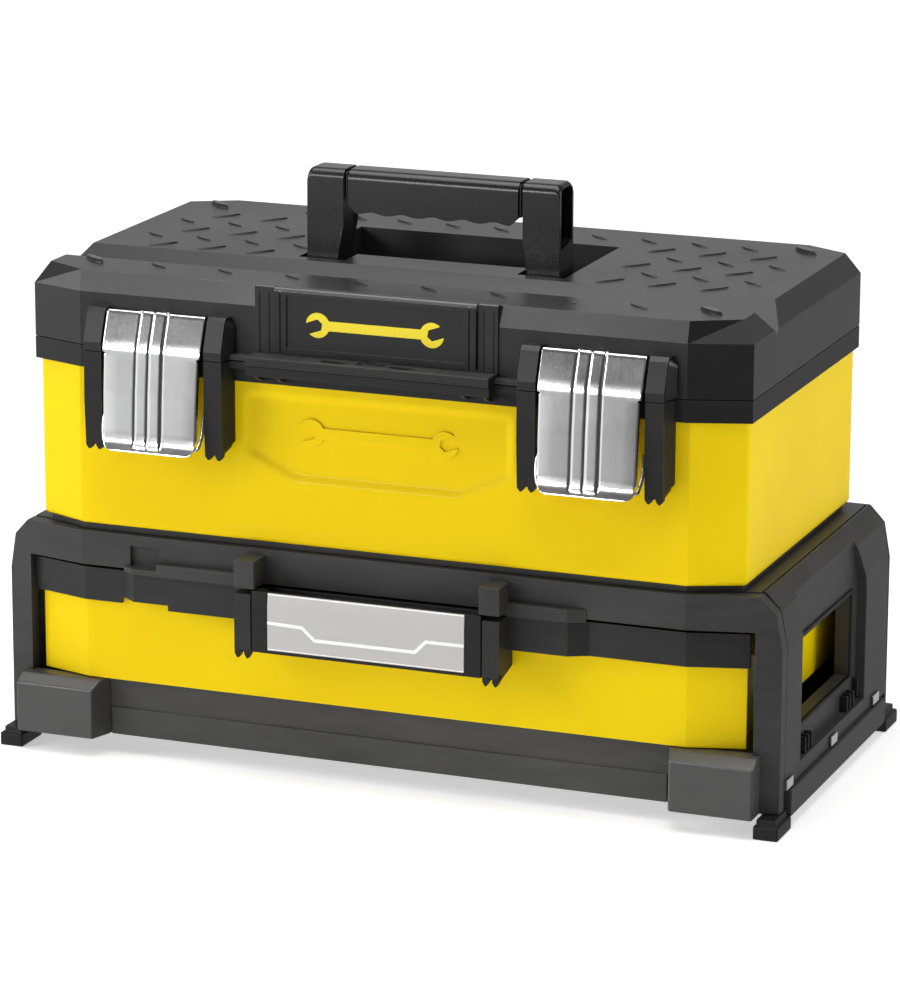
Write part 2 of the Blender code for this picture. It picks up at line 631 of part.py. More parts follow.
def build_slides():
    """Three-part drawer slides: outer on the frame, middle riding between, inner on the pan."""
    low, high = SLIDE_Z
    both_sides("slide_outer", lambda: channel(251.6, 242.0, low, high, SLIDE_FRONT, SLIDE_REAR, 1.2), ZINC)
    both_sides("slide_middle", lambda: channel(249.6, 243.0, low + 1.8, high - 1.8, SLIDE_FRONT, SLIDE_REAR - 4, 1.2),
               ZINC)

    def inner():
        body = box((DRAWER_HALF + GAP, 240.6), (SLIDE_FRONT, SLIDE_REAR - 8), (low + 3.6, high - 3.6))
        return add(body, box((240.0, 247.6), (SLIDE_FRONT, SLIDE_REAR - 8), (low + 3.6, high - 3.6)))
    both_sides("slide_inner", inner, ZINC)


build_tub()
build_rim()
build_hinge_pins()
build_lid()
build_nameplate()
build_handle_pins()
build_handle()
build_latches()
build_bezel()
build_ledges()
build_side_frames()
build_back_panel()
build_deck()
build_base()
build_drawer()
build_flap()
build_slides()
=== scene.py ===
"""Looks of the two-storey tool box: finishes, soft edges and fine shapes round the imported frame.

New pieces are drawn in millimetres from the middle of the tub, with the floor at z = 0, and placed in
the frame by piece(). Their places come from the frame's own nodes wherever they meet one.
"""
import math

import bmesh
import bpy
from mathutils import Matrix, Vector


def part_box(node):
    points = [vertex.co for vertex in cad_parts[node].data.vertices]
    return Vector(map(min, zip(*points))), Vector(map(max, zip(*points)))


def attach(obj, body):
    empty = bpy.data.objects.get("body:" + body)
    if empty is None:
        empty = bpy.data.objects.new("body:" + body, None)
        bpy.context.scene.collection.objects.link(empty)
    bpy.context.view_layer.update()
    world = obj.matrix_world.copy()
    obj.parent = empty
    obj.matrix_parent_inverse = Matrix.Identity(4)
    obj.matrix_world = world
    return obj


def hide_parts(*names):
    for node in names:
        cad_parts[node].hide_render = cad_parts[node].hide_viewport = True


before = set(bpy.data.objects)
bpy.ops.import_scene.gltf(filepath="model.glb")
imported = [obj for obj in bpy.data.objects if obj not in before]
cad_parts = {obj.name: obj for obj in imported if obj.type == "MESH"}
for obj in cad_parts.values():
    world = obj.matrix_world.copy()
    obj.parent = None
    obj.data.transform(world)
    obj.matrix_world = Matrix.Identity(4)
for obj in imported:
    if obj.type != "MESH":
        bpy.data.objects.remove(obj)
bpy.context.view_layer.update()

MM = 0.001
tub_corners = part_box("tub_shell")
MIDDLE = Vector((0.0, (tub_corners[0].y + tub_corners[1].y) / 2, 0.0))


def corners(node):
    """A CAD node's lowest and highest corner in millimetres from the middle of the tub."""
    low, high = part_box(node)
    return (low - MIDDLE) / MM, (high - MIDDLE) / MM


TUB_LOW, TUB_HIGH = corners("tub_shell")
LID_HIGH = corners("lid")[1]
GRIP_HIGH = corners("handle_grip")[1]
HANDLE_LOW, HANDLE_HIGH = corners("handle_frame")
INSERT_LOW, INSERT_HIGH = corners("handle_insert")
NAMEPLATE_LOW, NAMEPLATE_HIGH = corners("nameplate")
LATCHES = {side: sum(c.x for c in corners("latch_plate_" + side)) / 2 for side in ("left", "right")}


# ---- shader maths --------------------------------------------------------------------------------
class Value:
    """A number that varies over the surface; arithmetic on it adds Math nodes."""

    def __init__(self, nodes, socket):
        self.nodes = nodes
        self.socket = socket

    def maths(self, operation, *numbers, clamp=False):
        settings = {"operation": operation, "use_clamp": clamp}
        return self.nodes.node("Math", settings, dict(enumerate(numbers)))

    def __add__(self, other):
        return self.maths("ADD", self, other)

    def __sub__(self, other):
        return self.maths("SUBTRACT", self, other)

    def __rsub__(self, other):
        return self.maths("SUBTRACT", other, self)

    def __mul__(self, other):
        return self.maths("MULTIPLY", self, other)

    __radd__ = __add__
    __rmul__ = __mul__

    def __pow__(self, other):
        return self.maths("POWER", self, other)

    def clamped(self):
        return self.maths("ADD", self, 0.0, clamp=True)

    def above(self, edge, softness):
        """0 below edge, 1 above edge + softness, and a straight ramp between."""
        return ((self - edge) * (1.0 / softness)).clamped()


class Nodes:
    """A node tree that grows from expressions on Values."""

    def __init__(self, tree):
        self.tree = tree

    def node(self, kind, settings=None, sockets=None, output=0):
        """Add a node: its settings first, then the values or links of its sockets."""
        made = self.tree.nodes.new("ShaderNode" + kind)
        for name, value in (settings or {}).items():
            setattr(made, name, value)
        for name, value in (sockets or {}).items():
            self.feed(made.inputs[name], value)
        return Value(self, made.outputs[output])

    def feed(self, socket, value):
        if isinstance(value, Value):
            self.tree.links.new(value.socket, socket)
        else:
            socket.default_value = value

    def blend(self, share, first, second):
        """A colour between two others; a Mix node's colours are its sockets 6 and 7 and its output 2."""
        return self.node("Mix", {"data_type": "RGBA"}, {0: share, 6: first, 7: second}, output=2)


class Finish(Nodes):
    """A material with one Principled shader, and the record's slot that it shows."""

    def __init__(self, name, slot, **uniform):
        self.slot = slot
        self.material = bpy.data.materials.new(name)
        self.material.use_nodes = True
        super().__init__(self.material.node_tree)
        self.shader = self.tree.nodes["Principled BSDF"]
        for socket, value in uniform.items():
            self.shader.inputs[socket.replace("_", " ")].default_value = value

    def place(self, stretch=(1.0, 1.0, 1.0)):
        """Where the surface is, in metres, stretched along each axis."""
        where = self.node("TexCoord", output="Object")
        return self.node("VectorMath", {"operation": "MULTIPLY"}, {0: where, 1: stretch})

    def noise(self, scale, detail=2.0, stretch=(1.0, 1.0, 1.0)):
        sockets = {"Vector": self.place(stretch), "Scale": scale, "Detail": detail}
        return self.node("TexNoise", {}, sockets)

    def edges(self, radius):
        """1 on corners that hands and floors rub, 0 on flat faces."""
        rounded = self.node("Bevel", {"samples": 4}, {"Radius": radius})
        flat = self.node("NewGeometry", output="Normal")
        along = self.node("VectorMath", {"operation": "DOT_PRODUCT"}, {0: rounded, 1: flat}, output="Value")
        return (1.0 - along).above(0.01, 0.22)

    def surface(self, colour, roughness, height, strength, depth):
        """Join what varies to the shader: colour, roughness and a bump."""
        self.feed(self.shader.inputs["Base Color"], colour)
        self.feed(self.shader.inputs["Roughness"], roughness)
        bump = self.node("Bump", {}, {"Strength": strength, "Distance": depth, "Height": height})
        self.feed(self.shader.inputs["Normal"], bump)
        return self


def rgb(red, green, blue):
    return (red, green, blue, 1.0)


def grey(lightness):
    return rgb(lightness, lightness, lightness)


BLUE_CAST = 0.0002     # black plastic is faintly blue


def moulded_plastic(name, slot, lightness, roughness=0.46, grain=0.22, sheen=0.25):
    """Polypropylene with a fine spark-eroded grain, cloudy flow tone and rubbed, paler corners."""
    tone = (lightness, lightness, lightness + BLUE_CAST)
    finish = Finish(name, slot, Specular_IOR_Level=sheen)
    speckle = finish.noise(1500.0, 2.0)
    cloud = finish.noise(11.0, 4.0)
    flow = finish.noise(26.0, 3.0, (1.0, 1.0, 6.0))
    rubbed = finish.edges(0.0011) * (0.45 + 0.9 * finish.noise(60.0, 3.0)).clamped()
    dark = rgb(*(0.82 * c for c in tone))
    pale = rgb(*(1.2 * c for c in tone))
    body = finish.blend((0.6 * cloud + 0.4 * flow).above(0.35, 0.3), dark, pale)
    dusty = finish.blend(speckle.above(0.6, 0.25) * 0.35, body, rgb(*(1.7 * c + 0.006 for c in tone)))
    colour = finish.blend(rubbed * 0.4, dusty, rgb(*(1.9 * c + 0.02 for c in tone)))
    gloss = roughness + 0.16 * (speckle - 0.5) + 0.12 * (cloud - 0.5) - 0.1 * rubbed
    return finish.surface(colour, gloss, speckle, grain, 0.0002)


def gloss_paint(name, slot):
    """Yellow stove enamel on pressed steel: slight orange peel and a thin, faintly scuffed gloss."""
    finish = Finish(name, slot, Coat_Roughness=0.12, Specular_IOR_Level=0.08)
    peel = finish.noise(420.0, 1.0)
    cloud = finish.noise(7.0, 3.0)
    scuff = finish.noise(90.0, 4.0, (0.25, 1.0, 1.0))
    edge = finish.edges(0.0012)
    body = finish.blend(cloud.above(0.35, 0.3), rgb(0.86, 0.6, 0.0), rgb(0.89, 0.65, 0.0))
    fine = finish.blend(scuff.above(0.66, 0.1) * 0.25, body, rgb(0.8, 0.58, 0.01))
    colour = finish.blend(edge * 0.35, fine, rgb(0.95, 0.78, 0.09))
    finish.feed(finish.shader.inputs["Coat Weight"], 0.04 - 0.02 * scuff.above(0.62, 0.15))
    gloss = 0.4 + 0.14 * (scuff - 0.5) + 0.08 * (cloud - 0.5)
    return finish.surface(colour, gloss, peel, 0.09, 0.0003)


def bright_zinc(name, slot, rolled=(1.0, 1.0, 0.02)):
    """Zinc plate on rolled sheet: fine streaks along the rolling, and paler worn corners."""
    finish = Finish(name, slot, Metallic=1.0)
    streak = finish.noise(1100.0, 2.0, rolled)
    bloom = finish.noise(38.0, 4.0)
    edge = finish.edges(0.0008)
    body = finish.blend(0.55 * bloom + 0.45 * streak, rgb(0.72, 0.72, 0.725), grey(0.88))
    colour = finish.blend(edge * 0.3, body, grey(0.92))
    gloss = 0.14 + 0.06 * streak + 0.08 * (bloom - 0.4)
    return finish.surface(colour, gloss, streak, 0.02, 0.0001)


def silver_lacquer(name, slot):
    """Silver lacquer on plastic, with a fine metal flake and faint drawn lines along the handle."""
    finish = Finish(name, slot, Metallic=0.25, Specular_IOR_Level=0.5)
    flake = finish.noise(2600.0, 1.0)
    drawn = finish.noise(700.0, 2.0, (0.03, 1.0, 1.0))
    cloud = finish.noise(18.0, 3.0)
    body = finish.blend(0.5 * drawn + 0.5 * cloud, rgb(0.52, 0.505, 0.5), rgb(0.6, 0.59, 0.585))
    colour = finish.blend(flake.above(0.55, 0.2) * 0.4, body, grey(0.7))
    gloss = 0.38 + 0.12 * (flake - 0.5) + 0.1 * (drawn - 0.5)
    return finish.surface(colour, gloss, drawn, 0.05, 0.0001)


def printed_ink(name, slot, tone):
    """Screen-printed or hot-foiled marking: flat colour with a slightly uneven edge of gloss."""
    finish = Finish(name, slot)
    speckle = finish.noise(900.0, 2.0)
    paler = rgb(*(min(1.0, 1.12 * c + 0.01) for c in tone))
    colour = finish.blend(speckle.above(0.4, 0.3), rgb(*tone), paler)
    return finish.surface(colour, 0.42 + 0.15 * (speckle - 0.5), speckle, 0.08, 0.0001)


BLACK = moulded_plastic("black_moulding", "black_polypropylene", 0.015)
# The frame, strip and trim copies of the black plastic are made paler part by part to match how bright each
# part looks: their own dark tone plus painted light.
FRAME_BLACK = moulded_plastic("frame_moulding", "black_polypropylene", 0.044)
STRIP_BLACK = moulded_plastic("strip_moulding", "black_polypropylene", 0.064)
TRIM_BLACK = moulded_plastic("trim_moulding", "black_polypropylene", 0.026)
PLATE_BLACK = moulded_plastic("plate_moulding", "black_polypropylene", 0.012, 0.34, 0.12, 0.4)
LID_GREY = moulded_plastic("lid_moulding", "grey_polypropylene", 0.013, 0.37, 0.26, 0.42)
BLOCK_GREY = moulded_plastic("block_moulding", "grey_polypropylene", 0.05, 0.36, 0.22, 0.9)
HANDLE_BLACK = moulded_plastic("handle_moulding", "black_polypropylene", 0.008, 0.3, 0.12, 0.5)
YELLOW = gloss_paint("yellow_enamel", "painted_yellow_steel")
ZINC = bright_zinc("zinc_sheet", "zinc_plated_steel")
ZINC_SLIDE = bright_zinc("zinc_slide", "zinc_plated_steel", (1.0, 0.02, 1.0))
SILVER = silver_lacquer("silver_lacquer", "silver_plastic")
YELLOW_INK = printed_ink("yellow_ink", "painted_yellow_steel", (0.88, 0.7, 0.0))
WHITE_INK_AND_HIGHLIGHT = printed_ink("white_ink_and_highlight", "silver_plastic", (0.9, 0.9, 0.91))


# ---- mesh tools ----------------------------------------------------------------------------------
def round_edges(obj, width, segments=2, angle=28.0):
    """Round the sharp edges and keep the flat faces looking flat."""
    bevel = obj.modifiers.new("rounded_edges", "BEVEL")
    bevel.width = width * MM
    bevel.segments = segments
    bevel.limit_method = "ANGLE"
    bevel.angle_limit = math.radians(angle)
    bevel.use_clamp_overlap = True
    normals = obj.modifiers.new("flat_faces", "WEIGHTED_NORMAL")
    normals.mode = "FACE_AREA"
    normals.keep_sharp = False


def bridge(near, far, bm):
    """A band of faces between two closed rings of corners."""
    for i in range(len(near)):
        j = (i + 1) % len(near)
        bm.faces.new((near[i], near[j], far[j], far[i]))


def piece(name, bm, body, finish, stands_for=(), edge=0.0, segments=2, angle=28.0):
    """Link a bmesh drawn in millimetres as a finished piece that rides on body."""
    bmesh.ops.remove_doubles(bm, verts=bm.verts, dist=0.0005)
    bmesh.ops.recalc_face_normals(bm, faces=bm.faces)
    bm.transform(Matrix.Translation(MIDDLE) @ Matrix.Scale(MM, 4))
    mesh = bpy.data.meshes.new(name)
    bm.to_mesh(mesh)
    bm.free()
    obj = bpy.data.objects.new(name, mesh)
    bpy.context.scene.collection.objects.link(obj)
    mesh.shade_smooth()
    mesh.materials.append(finish.material)
    if edge:
        round_edges(obj, edge, segments, angle)
    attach(obj, body)
    if stands_for:
        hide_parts(*stands_for)
    return obj


def prism(outline, axis, low, high, bm=None):
    """Extrude a closed outline along axis, in bm or a new bmesh; its points are the other two axes."""
    bm = bm or bmesh.new()
    index = "xyz".index(axis)

    def corner(pair, along):
        co = list(pair)
        co.insert(index, along)
        return bm.verts.new(co)

    near = [corner(pair, low) for pair in outline]
    far = [corner(pair, high) for pair in outline]
    bm.faces.new(near)
    bm.faces.new(far)
    bridge(near, far, bm)
    return bm


def block(x, y, z, bm=None):
    """A box from its three ranges."""
    return prism([(x[0], y[0]), (x[1], y[0]), (x[1], y[1]), (x[0], y[1])], "z", *z, bm=bm)


def rod(axis, centre, radius, low, high, sides=24, bm=None):
    """A round bar along axis; centre is in the other two axes."""
    turn = [2 * math.pi * i / sides for i in range(sides)]
    ring = [(centre[0] + radius * math.cos(a), centre[1] + radius * math.sin(a)) for a in turn]
    return prism(ring, axis, low, high, bm)


def bend(start, corner, end, steps):
    """Points of a smooth bend from start to end that leans towards corner."""
    shares = [k / steps for k in range(steps + 1)]
    return [start * (1 - t) ** 2 + corner * 2 * t * (1 - t) + end * t * t for t in shares]


def filleted(points, radius, steps=5):
    """A closed outline with each corner replaced by an arc; radius may be a number or one per corner."""
    radii = radius if isinstance(radius, (list, tuple)) else [radius] * len(points)
    outline = []
    for i, here in enumerate(points):
        here = Vector(here)
        before = Vector(points[i - 1]) - here
        after = Vector(points[(i + 1) % len(points)]) - here
        opening = before.angle(after)
        reach = min(radii[i] / math.tan(opening / 2), 0.48 * before.length, 0.48 * after.length)
        if radii[i] <= 0 or opening > 3.1:
            outline.append(tuple(here))
            continue
        start, end = here + before.normalized() * reach, here + after.normalized() * reach
        outline += [tuple(point) for point in bend(start, here, end, steps)]
    return outline


def bent(points, reach, steps):
    """An open line through points, with its corners rounded over at most reach on either side."""
    line = [Vector(points[0])]
    for before, here, after in zip(points, points[1:], points[2:]):
        here, before, after = Vector(here), Vector(before), Vector(after)
        length = min(reach, 0.45 * (before - here).length, 0.45 * (after - here).length)
        start = here + (before - here).normalized() * length
        end = here + (after - here).normalized() * length
        line += bend(start, here, end, steps)
    line.append(Vector(points[-1]))
    return line


def loose(bm):
    """A bmesh in millimetres as a helper object for a Boolean; it rides on no body."""
    bmesh.ops.remove_doubles(bm, verts=bm.verts, dist=0.0005)
    bmesh.ops.recalc_face_normals(bm, faces=bm.faces)
    mesh = bpy.data.meshes.new("helper")
    bm.to_mesh(mesh)
    bm.free()
    obj = bpy.data.objects.new("helper", mesh)
    bpy.context.scene.collection.objects.link(obj)
    return obj


def carve(bm, cutters, operation="DIFFERENCE"):
    """Boolean each of the cutters into bm; all are bmeshes in millimetres. Flat faces come back whole."""
    body = loose(bm)
    for cutter in cutters:
        tool = loose(cutter)
        step = body.modifiers.new("cut", "BOOLEAN")
        step.operation = operation
        step.object = tool
        graph = bpy.context.evaluated_depsgraph_get()
        result = bpy.data.meshes.new_from_object(body.evaluated_get(graph))
        body.modifiers.clear()
        body.data = result
        bpy.data.objects.remove(tool, do_unlink=True)
    out = bmesh.new()
    out.from_mesh(body.data)
    bpy.data.objects.remove(body, do_unlink=True)
    bmesh.ops.dissolve_limit(out, angle_limit=math.radians(0.5), verts=out.verts, edges=out.edges)
    return out


def round_off(bm, chosen, width, segments=4):
    """Bevel the edges for which chosen(start, end) is true."""
    edges = [e for e in bm.edges if chosen(e.verts[0].co, e.verts[1].co)]
    bmesh.ops.bevel(bm, geom=edges, offset=width, segments=segments, profile=0.5, affect="EDGES")
    return bm


def mirror_x(bm):
    """The same shape on the other side of x = 0."""
    twin = bm.copy()
    twin.transform(Matrix.Diagonal((-1, 1, 1, 1)))
    bmesh.ops.reverse_faces(twin, faces=twin.faces)
    return twin


def merged(*shapes):
    """Several closed shapes in one mesh."""
    whole = bmesh.new()
    for shape in shapes:
        mesh = bpy.data.meshes.new("part")
        shape.to_mesh(mesh)
        shape.free()
        whole.from_mesh(mesh)
        bpy.data.meshes.remove(mesh)
    return whole


# ---- CAD nodes that stay -------------------------------------------------------------------------
SHALLOW_CREASE = 7.0      # the frame's mouldings meet at angles as small as this


def dress(node, finish, edge, segments=2):
    """Give a CAD node its finish, whole flat faces and rounded edges; its own mesh isn't touched."""
    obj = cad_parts[node]
    obj.data.materials.clear()
    obj.data.materials.append(finish.material)
    weld = obj.modifiers.new("one_skin", "WELD")
    weld.merge_threshold = 0.02 * MM
    whole = obj.modifiers.new("whole_faces", "DECIMATE")
    whole.decimate_type = "DISSOLVE"
    whole.angle_limit = math.radians(0.6)
    round_edges(obj, edge, segments, SHALLOW_CREASE)


def dress_frame():
    """Finishes and edge radii in millimetres of the CAD nodes that are seen as they are."""
    for node, edge in (("front_bezel", 1.1), ("side_frame_left", 1.0), ("side_frame_right", 1.0),
                       ("back_panel", 0.8), ("lower_deck", 0.8), ("bezel_ledge_left", 0.7),
                       ("bezel_ledge_right", 0.7), ("side_rail_left", 0.9), ("side_rail_right", 0.9)):
        dress(node, FRAME_BLACK, edge)
    for part in ("left", "middle", "right"):
        dress("drawer_trim_" + part, TRIM_BLACK, 0.8)
    dress("tub_rim", BLACK, 0.7)
    dress("front_strip", STRIP_BLACK, 0.7)
    dress("lid", LID_GREY, 0.8)
    for end in ("front", "rear"):
        for side in ("left", "right"):
            dress(f"foot_{end}_{side}", BLACK, 1.0)
    for side in ("left", "right"):
        dress("corner_block_" + side, BLOCK_GREY, 1.4, 3)
        dress("hinge_pin_" + side, ZINC_SLIDE, 0.3)
        dress("handle_pin_" + side, ZINC_SLIDE, 0.3)
        dress("flap_pin_" + side, ZINC_SLIDE, 0.3)
        for part in ("outer", "middle", "inner"):
            dress(f"slide_{part}_{side}", ZINC_SLIDE, 0.2)
    dress("base_plate", ZINC, 0.3)
    dress("drawer_pan", YELLOW, 0.35)
    dress("drawer_front", YELLOW, 0.5)


# ---- tub -----------------------------------------------------------------------------------------
PANEL_TOP, PANEL_SIDE, PANEL_BOTTOM = 259.6, 219.0, 203.0      # heights of the pressed panel's corners
PANEL_HALF, PANEL_FOOT = 91.5, 57.0                            # half widths at the top and the foot
PANEL_DEPTH, PANEL_SLOPE = 2.3, 3.6


def panel_depth(x, z):
    """How far the pressed panel lies behind the tub's front at x, z."""
    slant = Vector((PANEL_SIDE - PANEL_BOTTOM, -(PANEL_HALF - PANEL_FOOT))).normalized()
    inside = [PANEL_TOP - z, z - PANEL_BOTTOM, PANEL_HALF - abs(x)]
    inside.append(-(slant.x * (abs(x) - PANEL_FOOT) + slant.y * (z - PANEL_BOTTOM)))
    if min(inside) <= 0:
        return 0.0
    sharpness = 5.0
    within = sum(d ** -sharpness for d in inside) ** (-1 / sharpness)
    t = min(1.0, within / PANEL_SLOPE)
    return PANEL_DEPTH * t * t * (3 - 2 * t)


def build_tub():
    """The steel tub: eight-sided, with rounded bends, a fine grid in front and a pressed panel."""
    half, corner, crease, front = 244.0, 113.9, 209.6, -TUB_LOW.y
    upright_bend, bottom_bend, step = 4.0, 3.0, 2.5
    plan = [(-half, -corner), (-crease, -front), (crease, -front), (half, -corner), (half, corner),
            (crease, front), (-crease, front), (-half, corner)]
    ring = []
    for point in filleted(plan, upright_bend):
        last = ring[-1] if ring else None
        if last and abs(point[1] + front) < 0.01 and abs(last[1] + front) < 0.01:
            count = int((point[0] - last[0]) / step)
            ring += [(last[0] + (point[0] - last[0]) * k / count, point[1]) for k in range(1, count)]
        ring.append(point)
    rows = []
    for k in range(5):
        turn = math.pi / 2 * k / 4
        rows.append((bottom_bend * (1 - math.sin(turn)), TUB_LOW.z + bottom_bend * (1 - math.cos(turn))))
    count = int((TUB_HIGH.z - rows[-1][1]) / step)
    rise = (TUB_HIGH.z - rows[-1][1]) / count
    rows += [(0.0, rows[-1][1] + rise * k) for k in range(1, count + 1)]
    bm = bmesh.new()
    loops = []
    for inset, z in rows:
        loop = []
        for x, y in ring:
            shrink = Vector((x * (half - inset) / half, y * (front - inset) / front))
            depth = panel_depth(x, z) if y < -front + 0.01 else 0.0
            loop.append(bm.verts.new((shrink.x, shrink.y + depth, z)))
        loops.append(loop)
    for low, high in zip(loops, loops[1:]):
        bridge(low, high, bm)
    bm.faces.new(loops[0][::-1])
    tub = piece("tub", bm, "base", YELLOW, ["tub_shell"])
    wall = tub.modifiers.new("sheet", "SOLIDIFY")
    wall.thickness = 1.2 * MM
    wall.offset = -1.0
    normals = tub.modifiers.new("flat_faces", "WEIGHTED_NORMAL")
    normals.keep_sharp = False


JAW_LEAN = math.radians(20.0)


def spanner(length, head, bar, mouth):
    """A double open-ended spanner in x and z round the origin, 1 mm thick along y."""
    body = prism(filleted([(-length / 2, -bar / 2), (length / 2, -bar / 2), (length / 2, bar / 2),
                           (-length / 2, bar / 2)], 0.5), "y", 0.0, 1.0)
    heads = [rod("y", (side * length / 2, 0.0), head, 0.0, 1.0, 32) for side in (-1, 1)]
    shape = carve(body, heads, "UNION")
    jaws = []
    for side in (-1, 1):
        turn = Matrix.Rotation(JAW_LEAN, 2)
        jaw = [(-0.15 * head, -mouth / 2), (1.6 * head, -mouth / 2), (1.6 * head, mouth / 2),
               (-0.15 * head, mouth / 2), (-0.4 * head, 0.0)]
        points = []
        for x, z in jaw:
            spun = turn @ Vector((x, z))
            points.append((side * (spun.x + length / 2), side * spun.y))
        jaws.append(prism(points, "y", -1.0, 2.0))
    return carve(shape, jaws)


def build_emblems():
    """The same plain spanner, printed on the nameplate and pressed in the tub's panel."""
    printed = spanner(78.0, 8.2, 6.4, 7.4)
    panel = NAMEPLATE_LOW.y + 1.0
    printed.transform(Matrix.Translation((0.0, panel - 0.35, 308.0)) @ Matrix.Diagonal((1, 0.6, 1, 1)))
    piece("nameplate_emblem", printed, "lid", YELLOW_INK, edge=0.12)
    pressed = spanner(92.0, 9.0, 7.0, 8.0)
    face = TUB_LOW.y + PANEL_DEPTH
    pressed.transform(Matrix.Translation((0.0, face - 1.3, 236.0)) @ Matrix.Diagonal((1, 1.8, 1, 1)))
    piece("tub_emblem", pressed, "base", YELLOW, edge=1.0, segments=3)


# ---- lid -----------------------------------------------------------------------------------------
TREAD_PITCH_X, TREAD_PITCH_Y = 35.2, 52.0
TREAD_FIRST_X, TREAD_FIRST_Y = 122.4, -32.0       # the inner, front bar of each field
TREAD_FIELD_BARS = 3                              # bars along and across each field
LONG_BAR, SHORT_BAR = (22.0, 4.4, 0.9, 46.0), (18.5, 5.0, 0.9, -34.0)      # length, width, height, lean
CORNER_REST = (25.0, 8.0, 2.2, -38.0)
REAR_STRIP_Y, FRONT_STRIP_Y, FRONT_STRIP_PITCH = 98.0, -99.0, 47.2


def tread(bm, x, y, length, width, height, lean):
    """One raised lens-shaped bar of checker plate, with a flat crown, on the lid's top."""
    turn = Matrix.Rotation(math.radians(lean), 2)
    steps = 7
    rings = []
    for share, z in ((1.0, -0.2), (1.0, 0.1), (0.66, height)):
        ring = []
        for side in (1, -1):
            for k in range(steps):
                t = k / steps
                along = side * length / 2 * (2 * t - 1) * (0.5 + 0.5 * share)
                across = side * width / 2 * share * (1 - (2 * t - 1) ** 2) ** 0.7
                spun = turn @ Vector((along, across))
                ring.append(bm.verts.new((x + spun.x, y + spun.y, LID_HIGH.z + z)))
        rings.append(ring)
    for low, high in zip(rings, rings[1:]):
        bridge(low, high, bm)
    bm.faces.new(rings[0])
    bm.faces.new(rings[-1])


def build_treads():
    """Checker-plate bars on the lid's two fields, its rear strip and its front strip, and four rests."""
    bm = bmesh.new()
    rows, last = range(TREAD_FIELD_BARS), TREAD_FIELD_BARS - 1
    for side in (-1, 1):
        for i in rows:
            x = side * (TREAD_FIRST_X + TREAD_PITCH_X * i)
            for j in rows:
                y = TREAD_FIRST_Y + TREAD_PITCH_Y * j
                tread(bm, x, y, *LONG_BAR)
                if i < last or j < last:
                    tread(bm, x + TREAD_PITCH_X / 2, y + TREAD_PITCH_Y / 2, *SHORT_BAR)
            if side < 0 and i == last:
                for j in rows[:last]:
                    y = TREAD_FIRST_Y + TREAD_PITCH_Y * (j + 0.5)
                    tread(bm, x - TREAD_PITCH_X / 2, y, *SHORT_BAR)
    for k in range(-3, 4):
        tread(bm, TREAD_PITCH_X * k - 1.0, REAR_STRIP_Y, *SHORT_BAR)
    for k in range(-4, 4):
        tread(bm, FRONT_STRIP_PITCH * (k + 0.5), FRONT_STRIP_Y, *SHORT_BAR)
    piece("lid_treads", bm, "lid", LID_GREY, edge=0.15)
    rests = bmesh.new()
    for side in (-1, 1):
        for y in (104.0, -97.0):
            tread(rests, side * 212.0, y, *CORNER_REST)
    piece("lid_corner_rests", rests, "lid", HANDLE_BLACK, edge=0.3)


def build_nameplate():
    """Recessed plate between the lid's pillars, with a rounded bright top and two fine side grooves."""
    low, high = NAMEPLATE_LOW, NAMEPLATE_HIGH
    plate = block((low.x, high.x), (low.y, high.y), (low.z, high.z))
    round_off(plate, lambda a, b: a.z > high.z - 1 and b.z > high.z - 1 and a.y < low.y + 0.1 and
              b.y < low.y + 0.1, 2.2, 4)
    panel = block((-60.5, 60.5), (low.y - 5, low.y + 1.0), (low.z + 3.2, high.z - 5.0))
    grooves = [block((s * 64.6 - 0.5, s * 64.6 + 0.5), (low.y - 5, low.y + 0.9), (low.z - 1, high.z + 1))
               for s in (-1, 1)]
    plate = carve(plate, [panel, *grooves])
    piece("nameplate_panel", plate, "lid", PLATE_BLACK, ["nameplate"], edge=0.3)


# ---- carrying handle -----------------------------------------------------------------------------
POST_INNER_TOP, POST_INNER_FOOT = 62.4, 66.8
TAPER_LOW, TAPER_HIGH = 330.0, 353.0       # between these heights the posts narrow towards the foot
PIVOT_Z = 316.0


def post_outline(front, back, top, shoulder):
    """Side view of a handle post, y and z: rounded shoulders, and a round foot on the pivot."""
    middle, radius = (front + back) / 2, (back - front) / 2
    outline = [(back, z) for z in (PIVOT_Z, TAPER_LOW, TAPER_HIGH)]
    for centre, start in ((back - shoulder, 0), (front + shoulder, 90)):
        for k in range(7):
            turn = math.radians(start + 15 * k)
            outline.append((centre + shoulder * math.cos(turn), top - shoulder + shoulder * math.sin(turn)))
    outline += [(front, z) for z in (TAPER_HIGH, TAPER_LOW, PIVOT_Z)]
    foot = [math.pi * (1 + k / 16) for k in range(1, 16)]
    return outline + [(middle + radius * math.cos(turn), PIVOT_Z + radius * math.sin(turn)) for turn in foot]


